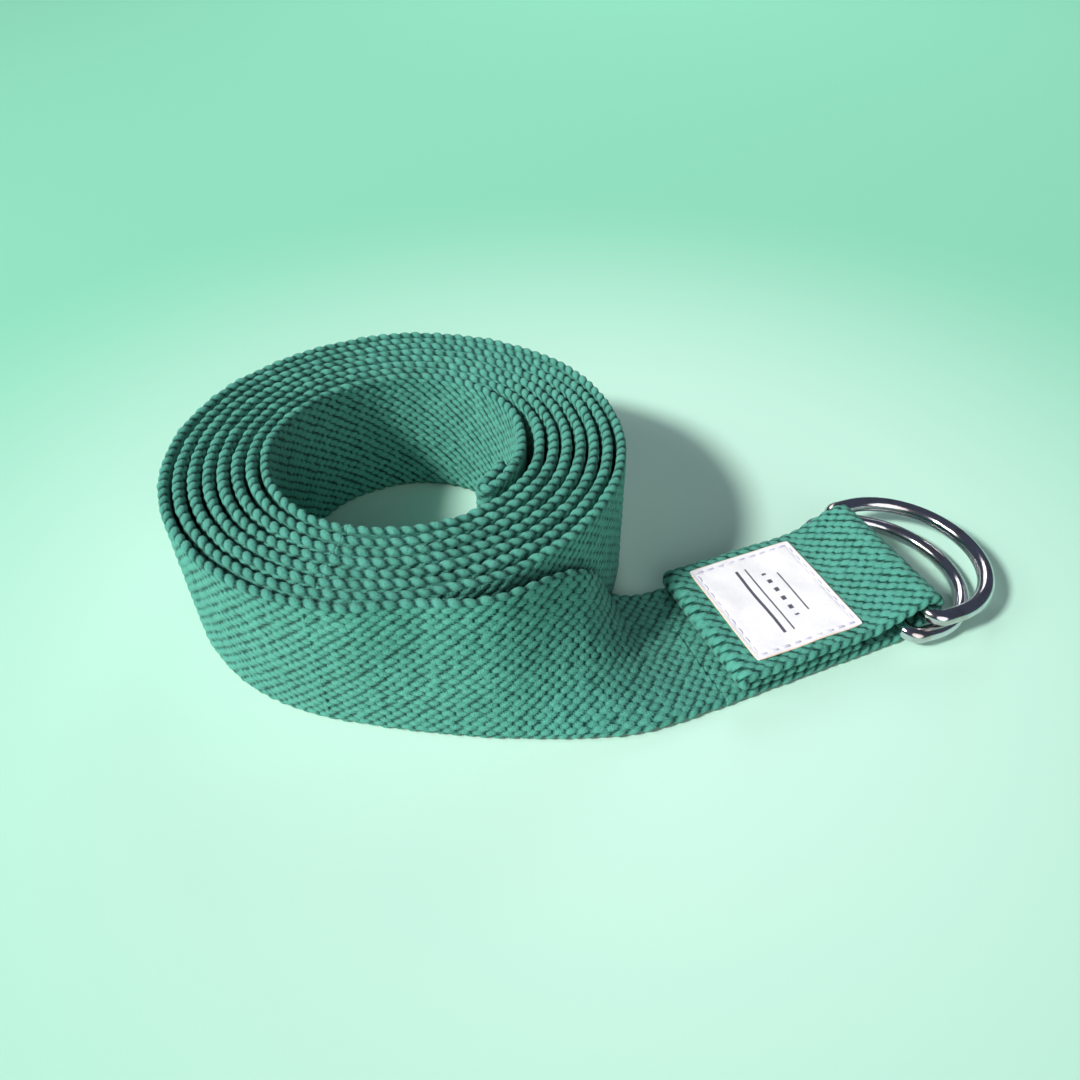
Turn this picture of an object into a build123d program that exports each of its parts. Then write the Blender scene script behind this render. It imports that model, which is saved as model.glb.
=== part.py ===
from build123d import *

import os
from math import atan2, cos, degrees, hypot, radians, sin

# Stretching strap: flat cotton webbing wound on edge in a roll. Its outer end leaves the roll, twists
# down flat, folds round the straight bars of two D-rings and is sewn back on itself under a label.
# +X runs along the flat end towards the rings, +Y across it to the far side, +Z up. Lengths are mm,
# angles are degrees. The strap is drawn round the roll's axis and moved to the footprint's centre last.

# ---- webbing ----
webbing_width = 38.0
webbing_thickness = 2.8
layer_gap = 0.1                 # between layers that are sewn down on each other

# ---- roll ----
roll_outer_radius = 58.5        # outer face of the last turn, where the tail leaves it
turn_gap = 0.55                 # between neighbouring turns
roll_sweep = 2794.0             # from the hem at the free end to where the tail leaves
tail_leaves_at = -126.0         # azimuth about the roll's axis
free_end_standoff = 1.4         # extra gap behind the free end, which springs in from the next turn
standoff_sweep = 100.0          # the free end closes up with the next turn over this angle
roll_step = 12.0                # angle between points on the spiral

# ---- hem at the free end ----
hem_length = 11.0
hem_flap_length = 9.0
hem_curve_radius = 27.0         # middle of the outer layer, a little tighter than the roll
hem_stitch_share = 0.65         # how far along the flap the stitches run

# ---- tail, measured along its lower edge ----
easy_bend_length = 58.0
easy_bend_angle = 12.0
tight_bend_length = 22.0
twist_start = 24.0
tail_length = 92.0
tail_stations = 14
flat_end_tilt = 2.0             # the far edge of the flat end stays a little off the floor

# ---- D-rings ----
ring_wire_radius = 2.0
ring_side_clearance = 0.5       # between the webbing's edge and a ring's leg
ring_leg_length = 7.1           # straight leg, from the bar's centreline to the bow
ring_corner_radius = 3.2
bar_spacing = 6.0               # along the strap, from the lower ring's bar to the upper one's
bar_clearance = 0.3             # between a bar and the webbing round it
ring_clearance = 0.25           # between the two rings where they cross
upper_ring_droop = 4.0
lower_ring_droop = 7.0

# ---- ring loop, measured along the strap from the lift line ----
fold_nose_offset = 3.0          # from the lift line to the folded nose
flat_end_length = 58.0          # from the folded nose to the end of the loop
turn_under_length = 34.0
loop_slope = 20.0               # the top layer comes down from the bars at this angle
loop_slope_radius = 12.0

# ---- label and thread ----
label_length = 30.0
label_width = 31.5
label_thickness = 0.4
label_nose_offset = 6.0         # from the folded nose to the label
label_edge_offset = 3.3         # from the near edge to the label
stitch_length = 2.3
stitch_pitch = 3.1
stitch_width = 0.6
stitch_height = 0.25
underside_stitch_height = 0.12  # the lower thread is pulled into the cloth
label_stitch_inset = 1.4

# ---- worked out from the sizes above ----
half_thickness = webbing_thickness / 2
turn_pitch = webbing_thickness + turn_gap
roll_end_radius = roll_outer_radius - half_thickness
free_end_azimuth = tail_leaves_at - roll_sweep
ring_half_width = webbing_width / 2 + ring_side_clearance + ring_wire_radius
cavity_radius = ring_wire_radius + bar_clearance
lower_bar_z = webbing_thickness + cavity_radius
upper_bar_z = (lower_bar_z - bar_spacing * sin(radians(lower_ring_droop))
               + 2 * ring_wire_radius + ring_clearance)
upper_bar_x = fold_nose_offset + flat_end_length - cavity_radius - webbing_thickness
lower_bar_x = upper_bar_x - bar_spacing
stack_height = 3 * webbing_thickness + 2 * layer_gap
label_x = fold_nose_offset + label_nose_offset
label_top = stack_height + label_thickness


def ease(share):
    """Smooth step from 0 to 1 with level ends."""
    share = min(max(share, 0.0), 1.0)
    return share * share * (3 - 2 * share)


def polar(radius, azimuth):
    """Point in the floor plane at a radius and an azimuth about the roll's axis."""
    return Vector(radius * cos(radians(azimuth)), radius * sin(radians(azimuth)), 0)


# ---- roll and hem ----

def turn_radius(sweep):
    """Radius of the middle of the webbing after a sweep from the free end."""
    spiral = roll_end_radius - turn_pitch * (roll_sweep - sweep) / 360
    return spiral - free_end_standoff * (1 - ease(sweep / standoff_sweep))


def roll_edge(first_sweep, face_offset):
    """One full turn of the spiral, at an offset from the middle of the webbing."""
    steps = round(360 / roll_step)
    sweeps = [first_sweep + 360 * step / steps for step in range(steps + 1)]
    return Spline([polar(turn_radius(a) + face_offset, free_end_azimuth + a) for a in sweeps])


def webbing_roll():
    """The wound turns as one closed solid: out to the last turn's outer face, in to the first one's inner face."""
    outside = roll_edge(roll_sweep - 360, half_thickness)
    inside = roll_edge(0, -half_thickness)
    outer_step = Line(outside @ 1, outside @ 0)
    inner_step = Line(inside @ 1, inside @ 0)
    face = make_face(Wire([outside, outer_step])) - make_face(Wire([inside, inner_step]))
    return extrude(face, webbing_width)


def free_end_plane():
    """Plane at the roll's free end: X on along the strap's end, Y in towards the roll's axis."""
    radius = turn_radius(0)
    back_along = Vector(sin(radians(free_end_azimuth)), -cos(radians(free_end_azimuth)), 0)
    return Plane(origin=polar(radius, free_end_azimuth), x_dir=back_along, z_dir=(0, 0, -1))


def hem_path():
    """Middle line of the hem in the free-end plane: outer layer, fold, and the flap laid back."""
    fold_radius = half_thickness + layer_gap / 2
    flap_radius = hem_curve_radius - 2 * fold_radius
    outer_layer = JernArc((0, 0), (1, 0), hem_curve_radius, degrees(hem_length / hem_curve_radius))
    fold = JernArc(outer_layer @ 1, outer_layer % 1, fold_radius, 180)
    flap = JernArc(fold @ 1, fold % 1, flap_radius, -degrees(hem_flap_length / flap_radius))
    return outer_layer, fold, flap


def free_end_hem():
    """The last of the webbing, turned back once on the side of the roll's axis."""
    section = Plane.YZ * Rectangle(webbing_thickness, webbing_width)
    hem = sweep(section, path=Wire(list(hem_path())), transition=Transition.ROUND)
    return free_end_plane() * Pos(0, 0, -webbing_width / 2) * hem


def hem_stitching():
    """One row of stitches up the turned-back flap, on the side of the roll's axis."""
    flap = hem_path()[-1]
    along = flap % hem_stitch_share
    face_normal = Vector(along.Y, -along.X, 0)
    foot = flap @ hem_stitch_share + face_normal * half_thickness
    count = int((webbing_width - stitch_pitch) / stitch_pitch)
    low_z = (webbing_width - (count - 1) * stitch_pitch) / 2
    stitches = []
    for index in range(count):
        place = foot - Vector(0, 0, low_z + index * stitch_pitch)
        stitches.append(Plane(origin=place, x_dir=(0, 0, 1), z_dir=face_normal) * stitch())
    return [free_end_plane() * one for one in stitches]


# ---- tail ----

def tail_point(length):
    """Lower edge of the tail at a length from the roll: plan position and heading."""
    heading = tail_leaves_at + 90
    position = polar(roll_end_radius, tail_leaves_at)
    bends = [(easy_bend_length, easy_bend_angle), (tight_bend_length, -heading - easy_bend_angle)]
    for bend_length, bend_angle in bends:
        run = min(length, bend_length)
        turned = bend_angle * run / bend_length
        chord_heading = radians(heading + turned / 2)
        chord = run * sin(radians(turned / 2)) / radians(turned / 2) if run > 0 else 0
        position += chord * Vector(cos(chord_heading), sin(chord_heading), 0)
        heading += turned
        length -= run
    return position + length * Vector(cos(radians(heading)), sin(radians(heading)), 0), heading


def tail_lean(length):
    """How far the webbing has leaned over from standing on edge, from 0 to nearly flat."""
    return (90 - flat_end_tilt) * ease((length - twist_start) / (tail_length - twist_start))


def tail_section(length):
    """Cross-section of the webbing at a length along the tail."""
    position, heading = tail_point(length)
    lean = radians(tail_lean(length))
    along = Vector(cos(radians(heading)), sin(radians(heading)), 0)
    far_side = Vector(-along.Y, along.X, 0)
    across = sin(lean) * far_side + cos(lean) * Vector(0, 0, 1)
    edge = position + Vector(0, 0, half_thickness * sin(lean))
    plane = Plane(origin=edge + across * (webbing_width / 2), x_dir=across, z_dir=along)
    return plane * Rectangle(webbing_width, webbing_thickness)


def twisted_tail():
    """The webbing from the roll to the lift line, turning from on edge to nearly flat."""
    stations = [tail_length * index / (tail_stations - 1) for index in range(tail_stations)]
    return loft([tail_section(length) for length in stations])


def flat_end_location():
    """Place of the flat end: its origin is the near lower corner of the webbing at the lift line."""
    position, _ = tail_point(tail_length)
    tilt = radians(flat_end_tilt)
    return Location((position.X, position.Y + half_thickness * sin(tilt), 0), (flat_end_tilt, 0, 0))


# ---- ring loop, in the flat end's own frame: X along, Y from the near edge across, Z up ----

def ring_loop():
    """Flat end: floor layer, round the two bars, back on top, and turned under at the nose."""
    bend_radius = cavity_radius + half_thickness
    climb = degrees(atan2(upper_bar_z - lower_bar_z, bar_spacing))
    fold_radius = half_thickness + layer_gap / 2
    top_z = stack_height - half_thickness
    slope = radians(loop_slope)
    drop = upper_bar_z + bend_radius * cos(slope) - top_z
    slope_run = (drop - loop_slope_radius * (1 - cos(slope))) / sin(slope)
    fold_x = fold_nose_offset + fold_radius + half_thickness

    floor_layer = Line((0, half_thickness), (lower_bar_x, half_thickness))
    under_lower = JernArc(floor_layer @ 1, floor_layer % 1, bend_radius, climb)
    between = Line(under_lower @ 1, under_lower @ 1
                   + (under_lower % 1) * hypot(bar_spacing, upper_bar_z - lower_bar_z))
    round_upper = JernArc(between @ 1, between % 1, bend_radius, 180 + loop_slope - climb)
    slope_down = Line(round_upper @ 1, round_upper @ 1 + (round_upper % 1) * slope_run)
    level_out = JernArc(slope_down @ 1, slope_down % 1, loop_slope_radius, -loop_slope)
    top_layer = Line(level_out @ 1, (fold_x, top_z))
    fold = JernArc(top_layer @ 1, top_layer % 1, fold_radius, 180)
    under_layer = Line(fold @ 1, (fold_nose_offset + turn_under_length, (fold @ 1).Y))
    path = Wire([floor_layer, under_lower, between, round_upper, slope_down, level_out, top_layer,
                 fold, under_layer])
    upright = Plane(origin=(0, webbing_width / 2, 0), x_dir=(1, 0, 0), z_dir=(0, -1, 0))
    start = Plane(origin=(0, webbing_width / 2, half_thickness), x_dir=(0, 1, 0), z_dir=(1, 0, 0))
    section = start * Rectangle(webbing_width, webbing_thickness)
    return sweep(section, path=upright * path, transition=Transition.ROUND)


def d_ring(bar_x, bar_z, droop):
    """One bent-wire D-ring, its straight bar inside the loop and its bow out past the end."""
    corner_x = ring_corner_radius
    side = ring_half_width
    bar_half = side - ring_corner_radius
    path = Wire([
        Line((0, -bar_half), (0, bar_half)),
        CenterArc((corner_x, bar_half), ring_corner_radius, 180, -90),
        Line((corner_x, side), (ring_leg_length, side)),
        CenterArc((ring_leg_length, 0), side, 90, -180),
        Line((ring_leg_length, -side), (corner_x, -side)),
        CenterArc((corner_x, -bar_half), ring_corner_radius, -90, -90),
    ])
    section = Plane(origin=(0, -bar_half, 0), z_dir=(0, 1, 0)) * Circle(ring_wire_radius)
    ring = sweep(section, path=path)
    return Location((bar_x, webbing_width / 2, bar_z), (0, droop, 0)) * ring


# ---- label and thread ----

def stitch(height=stitch_height):
    """One stitch lying along X on the face Z = 0."""
    return extrude(SlotOverall(stitch_length, stitch_width), height)


def label():
    """Woven label sewn on the top layer."""
    centre = Pos(label_x + label_length / 2, label_edge_offset + label_width / 2, stack_height)
    return centre * Box(label_length, label_width, label_thickness, align=(Align.CENTER, Align.CENTER, Align.MIN))


def stitch_frame(face_z, height):
    """Stitches round the label's outline, with their lower faces at the given height."""
    rows = []
    half_length = label_length / 2 - label_stitch_inset
    half_width = label_width / 2 - label_stitch_inset
    for reach, offset, turn in ((half_length, half_width, 0), (half_width, half_length, 90)):
        count = int(2 * (reach - stitch_length / 2) / stitch_pitch) + 1
        first = -(count - 1) * stitch_pitch / 2
        for side in (-1, 1):
            for index in range(count):
                rows.append(Rot(0, 0, turn) * Pos(first + index * stitch_pitch, side * offset, 0) * stitch(height))
    centre = Pos(label_x + label_length / 2, label_edge_offset + label_width / 2, face_z)
    return [centre * one for one in rows]


def build_nodes():
    """Every node by name, drawn round the roll's axis."""
    flat_end = flat_end_location()
    nodes = {
        "webbing_roll": webbing_roll(),
        "free_end_hem": free_end_hem(),
        "free_end_hem_stitching": hem_stitching(),
        "webbing_twisted_tail": twisted_tail(),
        "webbing_ring_loop": flat_end * ring_loop(),
        "upper_d_ring": flat_end * d_ring(upper_bar_x, upper_bar_z, upper_ring_droop),
        "lower_d_ring": flat_end * d_ring(lower_bar_x, lower_bar_z, lower_ring_droop),
        "sewn_label": flat_end * label(),
        "label_stitching": [flat_end * one for one in stitch_frame(label_top, stitch_height)],
        "underside_stitching": [flat_end * one for one in
                                stitch_frame(-underside_stitch_height, underside_stitch_height)],
    }
    return {name: Compound(made) if isinstance(made, list) else made for name, made in nodes.items()}


def footprint_centre(nodes):
    """Middle of the box round every node, at the height of the floor."""
    boxes = [node.bounding_box() for node in nodes.values()]
    low = [min(getattr(box.min, axis) for box in boxes) for axis in "XYZ"]
    high = [max(getattr(box.max, axis) for box in boxes) for axis in "XYZ"]
    return Vector((low[0] + high[0]) / 2, (low[1] + high[1]) / 2, low[2])


def main():
    """Move the strap so that the origin is the middle of its footprint, and write each node."""
    nodes = build_nodes()
    to_origin = Pos(-footprint_centre(nodes))
    os.makedirs("parts", exist_ok=True)
    for name, node in nodes.items():
        export_step(to_origin * node, f"parts/{name}.step")


main()
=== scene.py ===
"""Cotton stretching strap with two D-rings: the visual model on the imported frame.

The strap is one length of woven webbing. It starts in a small hem inside the roll, winds
outward, leaves the roll as a tail that leans over until it lies flat, and ends in a loop
that holds two rings, with a label sewn on top of the folded stack. All lengths below are
in millimetres and are turned into metres when a mesh is made.
"""

import logging
import math
from dataclasses import dataclass, field
from enum import Enum
from typing import Iterable, Sequence, Union

import bpy
import numpy as np
from mathutils import Matrix


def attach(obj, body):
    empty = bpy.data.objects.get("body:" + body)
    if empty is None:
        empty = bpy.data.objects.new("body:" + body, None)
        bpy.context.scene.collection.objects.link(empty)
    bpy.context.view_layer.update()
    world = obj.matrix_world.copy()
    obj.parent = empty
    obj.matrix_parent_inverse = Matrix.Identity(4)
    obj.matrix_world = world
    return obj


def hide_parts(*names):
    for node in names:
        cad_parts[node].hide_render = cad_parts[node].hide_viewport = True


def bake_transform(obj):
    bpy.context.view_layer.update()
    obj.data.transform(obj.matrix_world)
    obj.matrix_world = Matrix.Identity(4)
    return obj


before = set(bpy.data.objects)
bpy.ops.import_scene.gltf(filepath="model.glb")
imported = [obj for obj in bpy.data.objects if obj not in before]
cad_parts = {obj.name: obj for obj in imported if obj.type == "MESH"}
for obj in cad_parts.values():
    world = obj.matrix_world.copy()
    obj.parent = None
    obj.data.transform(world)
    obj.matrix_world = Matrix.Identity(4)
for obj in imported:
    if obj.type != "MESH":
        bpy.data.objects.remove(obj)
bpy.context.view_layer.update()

MM = 0.001
UP = np.array([0.0, 0.0, 1.0])
LOG = logging.getLogger("strap")

Colour = tuple[float, float, float]


class Body(Enum):
    """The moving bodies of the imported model."""

    ROLL = "roll"
    FLAT_END = "flat_end"
    UPPER_RING = "upper_ring"
    LOWER_RING = "lower_ring"


class Slot(Enum):
    """The record's material slots."""

    WEBBING = "webbing"
    THREAD = "thread"
    LABEL_THREAD = "label_thread"
    LABEL_CLOTH = "label_cloth"
    RING_METAL = "ring_metal"


class Relief(Enum):
    """How much of the webbing's section shows its weave."""

    BOTH_FACES = "both"
    OUTER_FACE = "outer"
    INNER_FACE = "inner"
    RIMS_ONLY = "rims"


# ---- shared mathematics ----


def ease(share: np.ndarray) -> np.ndarray:
    """Smooth step from 0 to 1 with level ends: 3 s^2 - 2 s^3 on the clipped share s."""
    share = np.clip(share, 0.0, 1.0)
    return share * share * (3 - 2 * share)


def unit(vectors: np.ndarray) -> np.ndarray:
    """Each row of an array of vectors at length 1."""
    return vectors / np.linalg.norm(vectors, axis=-1, keepdims=True)


def scatter(*indices: np.ndarray) -> np.ndarray:
    """A repeatable number from 0 to 1 for each set of whole-number indices.

    The formula is the fractional part of a large multiple of the sine of a weighted sum.

    Args:
        indices: arrays of whole numbers that broadcast together.

    Returns:
        One number per element.
    """
    weights = (12.9898, 78.233, 37.719)
    total = sum(weight * index for weight, index in zip(weights, indices))
    return np.mod(np.sin(total) * 43758.5453, 1.0)


def drift(places: np.ndarray, wavelength: float, seed: float) -> np.ndarray:
    """A slow wander between about -1 and 1: a sum of three sines of unrelated lengths.

    Args:
        places: lengths along the strap.
        wavelength: the longest of the three wavelengths.
        seed: a phase that makes one wander differ from another.

    Returns:
        The wander at each place.
    """
    turn = 2 * math.pi * places / wavelength
    waves = np.sin(turn + seed) + 0.6 * np.sin(2.3 * turn + 2.1 * seed)
    return (waves + 0.4 * np.sin(4.9 * turn + 3.7 * seed)) / 2


# ---- material kit ----


class Tone:
    """One value or colour in a material's nodes, with arithmetic on values."""

    def __init__(self, paint: "Paint", socket: bpy.types.NodeSocket) -> None:
        """Wraps an output socket of a node in that paint's tree."""
        self.paint = paint
        self.socket = socket

    def __add__(self, other: "Value") -> "Tone":
        """This plus other."""
        return self.paint.math("ADD", self, other)

    def __radd__(self, other: "Value") -> "Tone":
        """Other plus this."""
        return self.paint.math("ADD", other, self)

    def __sub__(self, other: "Value") -> "Tone":
        """This minus other."""
        return self.paint.math("SUBTRACT", self, other)

    def __rsub__(self, other: "Value") -> "Tone":
        """Other minus this."""
        return self.paint.math("SUBTRACT", other, self)

    def __mul__(self, other: "Value") -> "Tone":
        """This times other."""
        return self.paint.math("MULTIPLY", self, other)

    def __rmul__(self, other: "Value") -> "Tone":
        """Other times this."""
        return self.paint.math("MULTIPLY", other, self)


Value = Union[Tone, float]


class Paint:
    """A material being mixed from nodes."""

    def __init__(self, name: str) -> None:
        """Starts a material with a Principled shader and its output."""
        self.material = bpy.data.materials.new(name)
        self.material.use_nodes = True
        self.tree = self.material.node_tree
        self.tree.nodes.clear()
        self.shader = self.tree.nodes.new("ShaderNodeBsdfPrincipled")
        output = self.tree.nodes.new("ShaderNodeOutputMaterial")
        self.tree.links.new(self.shader.outputs["BSDF"], output.inputs["Surface"])

    def feed(self, socket: bpy.types.NodeSocket, value: object) -> None:
        """Links a tone to a socket, or sets the socket to a plain value."""
        if isinstance(value, Tone):
            self.tree.links.new(value.socket, socket)
        else:
            socket.default_value = value

    def node(
        self,
        kind: str,
        settings: dict[str, object],
        inputs: dict[Union[int, str], object],
        output: Union[int, str] = 0,
    ) -> Tone:
        """Adds a node.

        Args:
            kind: the node's type.
            settings: its own properties, set first.
            inputs: the values or links of its sockets, by name or number.
            output: the socket that is returned.

        Returns:
            The chosen output.
        """
        made = self.tree.nodes.new(kind)
        for name, value in settings.items():
            setattr(made, name, value)
        for name, value in inputs.items():
            self.feed(made.inputs[name], value)
        return Tone(self, made.outputs[output])

    def math(self, operation: str, *values: Value) -> Tone:
        """A Math node on one to three values."""
        return self.node("ShaderNodeMath", {"operation": operation}, dict(enumerate(values)))

    def attribute(self, name: str, output: str = "Fac") -> Tone:
        """A named attribute of the piece's own mesh."""
        return self.node("ShaderNodeAttribute", {"attribute_name": name}, {}, output)

    def place(self) -> Tone:
        """The surface's place in the row frame, in metres."""
        return self.node("ShaderNodeTexCoord", {}, {}, "Object")

    def stretched(self, vector: Tone, scale: Sequence[float], turn: float = 0.0) -> Tone:
        """A vector scaled along each axis, and turned about Z by degrees."""
        return self.node(
            "ShaderNodeMapping",
            {"vector_type": "POINT"},
            {"Vector": vector, "Scale": tuple(scale), "Rotation": (0, 0, math.radians(turn))},
        )

    def noise(self, vector: Tone, scale: float, detail: float = 2.0) -> Tone:
        """Smooth noise about 0.5 at a scale of features per unit of the vector."""
        inputs = {"Vector": vector, "Scale": scale, "Detail": detail, "Roughness": 0.55}
        return self.node("ShaderNodeTexNoise", {}, inputs, "Fac")

    def span(self, value: Tone, low: float, high: float, start: float, end: float) -> Tone:
        """Maps low..high to start..end, smoothly and clamped."""
        inputs = {0: value, 1: low, 2: high, 3: start, 4: end}
        return self.node("ShaderNodeMapRange", {"interpolation_type": "SMOOTHSTEP"}, inputs)

    def mix(self, share: Value, first: object, second: object) -> Tone:
        """A colour between two, the first at share 0."""
        colours = [(*c, 1.0) if isinstance(c, tuple) else c for c in (first, second)]
        return self.node(
            "ShaderNodeMix",
            {"data_type": "RGBA", "clamp_factor": True},
            {0: share, 6: colours[0], 7: colours[1]},
            2,
        )

    def bump(self, height: Tone, distance: float, strength: float = 1.0) -> Tone:
        """A normal from a height between 0 and 1, with its depth in metres."""
        inputs = {"Height": height, "Distance": distance, "Strength": strength}
        return self.node("ShaderNodeBump", {}, inputs)

    def finish(self, **inputs: object) -> bpy.types.Material:
        """Feeds the shader's sockets, their names written with underscores.

        Args:
            inputs: values or tones by socket name.

        Returns:
            The finished material.
        """
        for name, value in inputs.items():
            value = (*value, 1.0) if isinstance(value, tuple) and len(value) == 3 else value
            self.feed(self.shader.inputs[name.replace("_", " ")], value)
        return self.material


# ---- mesh kit ----


@dataclass
class Shell:
    """A mesh in millimetres: its points, its faces, and numbers kept at each point."""

    points: np.ndarray
    faces: list[list[int]]
    values: dict[str, np.ndarray] = field(default_factory=dict)

    def volume(self) -> float:
        """Six times the signed volume, from each face's fan of triangles about its first corner."""
        quads = np.array([f if len(f) == 4 else [*f, f[2]] for f in self.faces])
        a, b, c, d = (self.points[quads[:, k]] for k in range(4))
        return float((np.cross(a, b) * c).sum() + (np.cross(a, c) * d).sum())

    def piece(self, name: str, material: bpy.types.Material, slot: Slot) -> bpy.types.Object:
        """Makes the object, in metres, with faces that point outwards and flat three-sided caps.

        Args:
            name: the piece's name.
            material: its finish.
            slot: the record's slot for that finish; not used.

        Returns:
            The new object, at the origin.
        """
        faces = self.faces if self.volume() > 0 else [face[::-1] for face in self.faces]
        mesh = bpy.data.meshes.new(name)
        mesh.from_pydata((self.points * MM).tolist(), [], faces)
        mesh.update()
        for key, numbers in self.values.items():
            kind = "FLOAT_VECTOR" if numbers.ndim == 2 else "FLOAT"
            layer = mesh.attributes.new(key, kind, "POINT")
            layer.data.foreach_set("vector" if numbers.ndim == 2 else "value", numbers.ravel())
        mesh.polygons.foreach_set("use_smooth", np.array([len(face) == 4 for face in faces]))
        mesh.materials.append(material)
        made = bpy.data.objects.new(name, mesh)
        bpy.context.scene.collection.objects.link(made)
        return made


def tube_faces(stations: int, around: int, closed: bool = False) -> list[list[int]]:
    """Faces of a grid of closed sections, each station's points following the last one's.

    Args:
        stations: the number of sections.
        around: the points in each section.
        closed: True where the last section joins the first.

    Returns:
        The four-sided faces, by point number.
    """
    row = np.arange(stations if closed else stations - 1)[:, None] * around
    point = np.arange(around)[None, :]
    after = (point + 1) % around
    nxt = (row + around) % (stations * around)
    quads = np.stack([row + point, row + after, nxt + after, nxt + point], axis=-1)
    return quads.reshape(-1, 4).tolist()


def cap_faces(first: int, around: int, centre: int, flip: bool) -> list[list[int]]:
    """A fan of triangles from a centre point to a closed section that starts at first."""
    point = np.arange(around)
    ring = [first + point, first + (point + 1) % around, np.full(around, centre)]
    return np.stack(ring[::-1] if flip else ring, axis=-1).tolist()


# ---- webbing ----


@dataclass(frozen=True)
class Weave:
    """The cotton webbing: rows of plump yarn grains in brick order, with beaded rims."""

    width: float = 38.0
    thickness: float = 2.8
    rows: int = 28
    period: float = 3.2
    relief: float = 0.52
    rim_relief: float = 0.72
    slant: float = 0.16
    steps_per_period: int = 6
    samples_per_row: int = 4
    rim_samples: int = 12

    @property
    def pitch(self) -> float:
        """Width of one row of grains."""
        return self.width / self.rows

    def grains(self, row: np.ndarray, run: np.ndarray, side: np.ndarray) -> np.ndarray:
        """Height of the weave's surface, from 0 in a groove to about 1 on a crown.

        Each grain is an oval crown: a power of the cosine along the strap, times a half
        ellipse across, whose width swells at the middle so that it reaches between the
        ends of the grains beside it. Each row is half a period on from its neighbour, the
        far face is half a period on from the near one, and the highest grain shows.

        Args:
            row: place across the width, in rows.
            run: place along the strap, in periods.
            side: 0 on the outer face and 1 on the inner face.

        Returns:
            The heights.
        """
        height = np.zeros(np.broadcast(row, run, side).shape)
        for step in (-1, 0, 1):
            line = np.floor(row) + step
            phase = run + 0.5 * np.mod(line, 2) + 0.5 * side
            phase = phase + 0.2 * (scatter(line, np.floor(phase), side) - 0.5)
            number = np.floor(phase)
            away = phase - number - 0.5
            chance = scatter(line + 3, number, side + 5)
            crown = (0.78 + 0.32 * chance) * np.cos(math.pi * away) ** 0.62
            half_width = 0.56 + 0.15 * np.cos(2 * math.pi * away)
            offset = (row - line - 0.5 - self.slant * away * 2) / half_width
            grain = crown * np.sqrt(np.clip(1 - offset * offset, 0, 1))
            height = np.maximum(height, grain)
        return height

    def beads(self, turn: np.ndarray, run: np.ndarray, rim: np.ndarray) -> np.ndarray:
        """Height of a rim's beads: one plump bead a period, slanted like a laid rope.

        Args:
            turn: place round the rim, from 0 at the outer face to 1 at the inner face.
            run: place along the strap, in periods.
            rim: 0 at the lower rim and 1 at the upper rim.

        Returns:
            The heights, from 0 between beads to about 1 on them.
        """
        phase = run + 0.5 * np.mod(np.where(rim > 0.5, self.rows - 1, 0), 2) + 0.5 * turn
        number = np.floor(phase)
        away = phase - number - 0.5
        chance = scatter(number, 17 * rim, 0 * number)
        swell = (0.70 + 0.40 * chance) * np.cos(math.pi * away) ** 0.75
        return swell * (1 - np.abs(2 * turn - 1) ** 5) ** 0.5


@dataclass(frozen=True)
class Section:
    """Points round the webbing's cross-section, in order, before the weave raises them."""

    across: np.ndarray
    depth: np.ndarray
    normal_across: np.ndarray
    normal_depth: np.ndarray
    row: np.ndarray
    side: np.ndarray
    rim: np.ndarray
    turn: np.ndarray
    shown: np.ndarray

    @classmethod
    def of(cls, weave: Weave, relief: Relief) -> "Section":
        """The section for a piece that shows its weave on some of its faces.

        A face has four points to a row where its weave shows and one to two rows where it
        doesn't. A rim is half an ellipse, one row high and as deep as the webbing.

        Args:
            weave: the webbing.
            relief: where the weave shows.

        Returns:
            The section, up the outer face and down the inner one.
        """
        last = weave.rows - 1
        fine = np.arange(1, last + 1e-6, 1 / weave.samples_per_row)
        coarse = np.arange(1, last + 1e-6, 2)
        near_rims = np.concatenate([[1.0], np.arange(4, last - 3, 3.0), fine[fine >= last - 2]])
        outer_fine = relief in (Relief.BOTH_FACES, Relief.OUTER_FACE)
        inner_fine = relief in (Relief.BOTH_FACES, Relief.INNER_FACE)
        if relief is Relief.RIMS_ONLY:
            faces = [(near_rims, 0.0, near_rims > last - 2.1), (near_rims, 1.0, near_rims > last - 2.1)]
        else:
            faces = [
                (fine if outer_fine else coarse, 0.0, None if outer_fine else False),
                (fine if inner_fine else coarse, 1.0, None if inner_fine else False),
            ]
        half_width, half_depth = weave.width / 2, weave.thickness / 2
        parts: list[list[np.ndarray]] = []
        for rows, side, mask in faces:
            rows = rows if side == 0 else rows[::-1]
            mask = mask[::-1] if isinstance(mask, np.ndarray) and side == 1 else mask
            ones = np.ones(len(rows))
            shown = ones if mask is None else ones * mask
            sign = 1 - 2 * side
            parts.append(
                [
                    rows * weave.pitch - half_width,
                    ones * half_depth * sign,
                    0 * ones,
                    ones * sign,
                    rows,
                    ones * side,
                    -ones,
                    0 * ones,
                    shown,
                ]
            )
            upper = side == 0
            count = weave.rim_samples if upper or relief is not Relief.RIMS_ONLY else 6
            turn = (np.arange(count) + 1) / (count + 1)
            angle = math.pi * turn
            reach, ones = np.sin(angle), np.ones(count)
            rise = 1.0 if upper else -1.0
            # the upper rim goes from the outer face to the inner one, and the lower rim back
            depth = np.cos(angle) if upper else -np.cos(angle)
            parts.append(
                [
                    rise * (half_width - weave.pitch + weave.pitch * reach),
                    half_depth * depth,
                    rise * reach,
                    depth,
                    (last + reach) if upper else (1 - reach),
                    turn if upper else 1 - turn,
                    ones * (1.0 if upper else 0.0),
                    turn if upper else 1 - turn,
                    ones,
                ]
            )
        columns = [np.concatenate(column) for column in zip(*parts)]
        return cls(*columns)


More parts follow.
